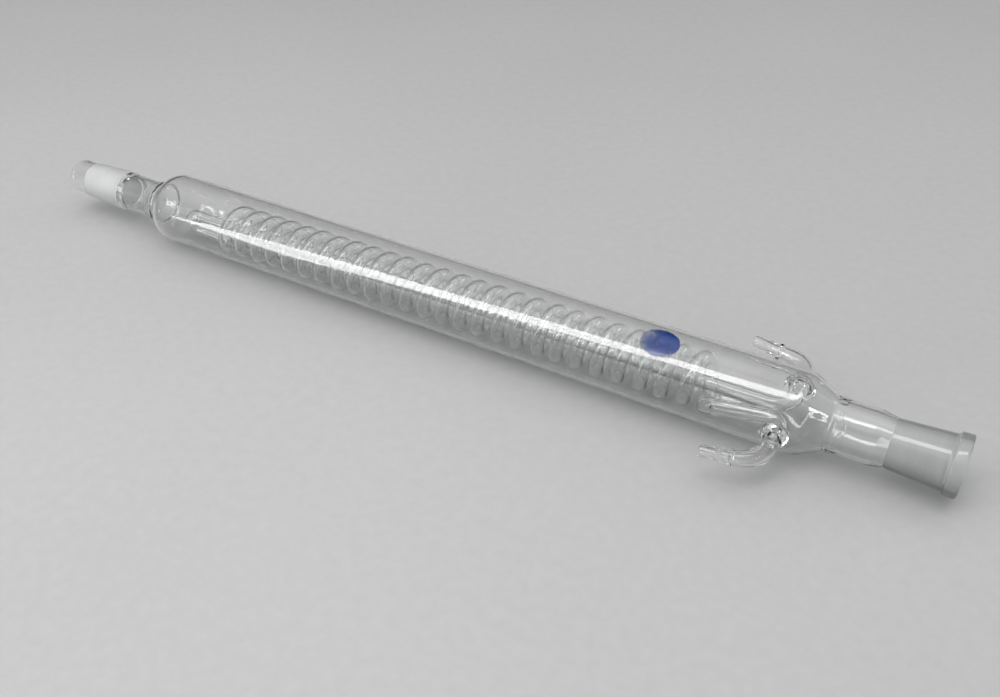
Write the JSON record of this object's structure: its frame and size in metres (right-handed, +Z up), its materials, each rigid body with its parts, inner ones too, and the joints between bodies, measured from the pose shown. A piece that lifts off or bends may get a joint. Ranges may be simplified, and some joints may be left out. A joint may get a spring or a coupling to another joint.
{
  "type": "coil reflux condenser",
  "caption": "Glass reflux condenser: clear jacket round a helical cooling coil, bent hose barbs, ground cone with drip tip below and ground socket above.",
  "frame": {"origin": "on the bench under the middle of the condenser's length and width", "axes": "+X along the glass axis towards the ground socket, +Z up from the bench, +Y towards the back hose connector"},
  "size_m": [0.5302, 0.0904, 0.0401],
  "materials": {
    "clear_glass": "clear fire-polished borosilicate glass",
    "ground_glass": "finely ground, frosted white",
    "blue_enamel": "fired blue enamel, slightly glossy"
  },
  "bodies": {
    "root": {"drip_tip": "clear_glass", "cone_stem": "clear_glass", "cone_weld": "clear_glass", "lower_shoulder": "clear_glass", "jacket_tube": "clear_glass", "jacket_head": "clear_glass", "socket_stem": "clear_glass", "socket_weld": "clear_glass", "cooling_coil": "clear_glass", "return_tube": "clear_glass", "coil_hairpin": "clear_glass", "supply_lead": "clear_glass", "return_lead": "clear_glass", "front_ring_seal": "clear_glass", "back_ring_seal": "clear_glass", "front_hose_elbow": "clear_glass", "back_hose_elbow": "clear_glass", "front_hose_barb": "clear_glass", "back_hose_barb": "clear_glass", "ground_cone": "ground_glass", "ground_socket": "ground_glass", "socket_rim": "ground_glass", "enamel_patch": "blue_enamel"}
  },
  "joints": []
}
